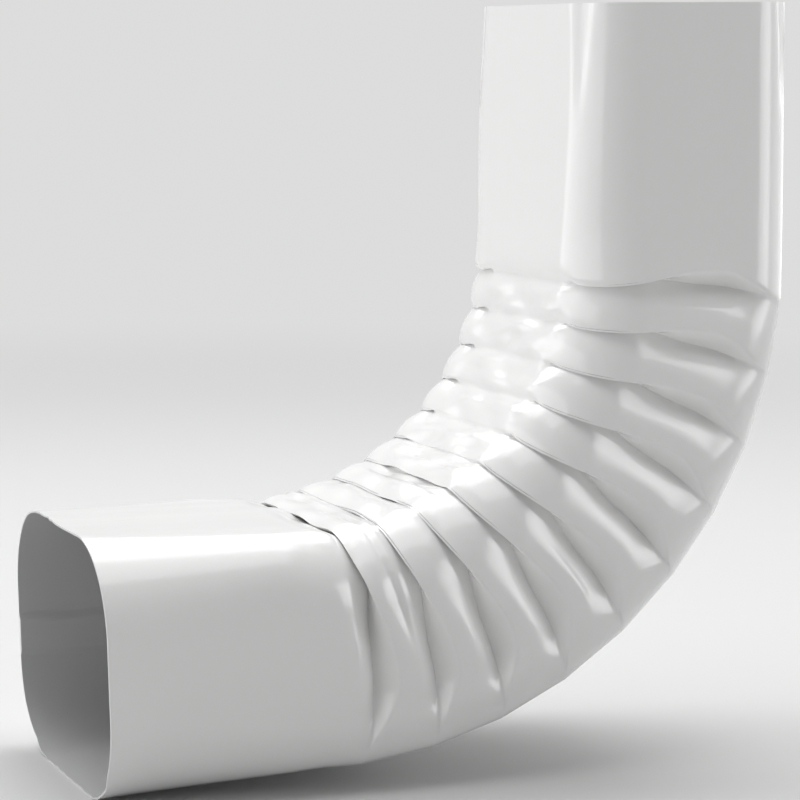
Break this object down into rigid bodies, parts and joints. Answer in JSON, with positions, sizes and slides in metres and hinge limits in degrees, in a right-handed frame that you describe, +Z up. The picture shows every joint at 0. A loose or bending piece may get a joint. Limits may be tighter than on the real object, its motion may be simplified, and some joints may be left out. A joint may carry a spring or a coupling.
{
  "type": "downspout elbow",
  "caption": "White painted sheet-metal downspout elbow: rectangular section, crimped upper collar, pleated right-angle bend and a larger open mouth at the lower end.",
  "frame": {"origin": "centre of the crimped upper rim", "axes": "+Z up along the upper leg and out of its rim; the lower leg leaves along -X; Y across the bend, with the lock seam on the +Y side wall"},
  "size_m": [0.1774, 0.0854, 0.1902],
  "materials": {
    "white_paint": "gloss white baked enamel"
  },
  "bodies": {
    "root": {"pleated_elbow": "white_paint"}
  },
  "joints": []
}
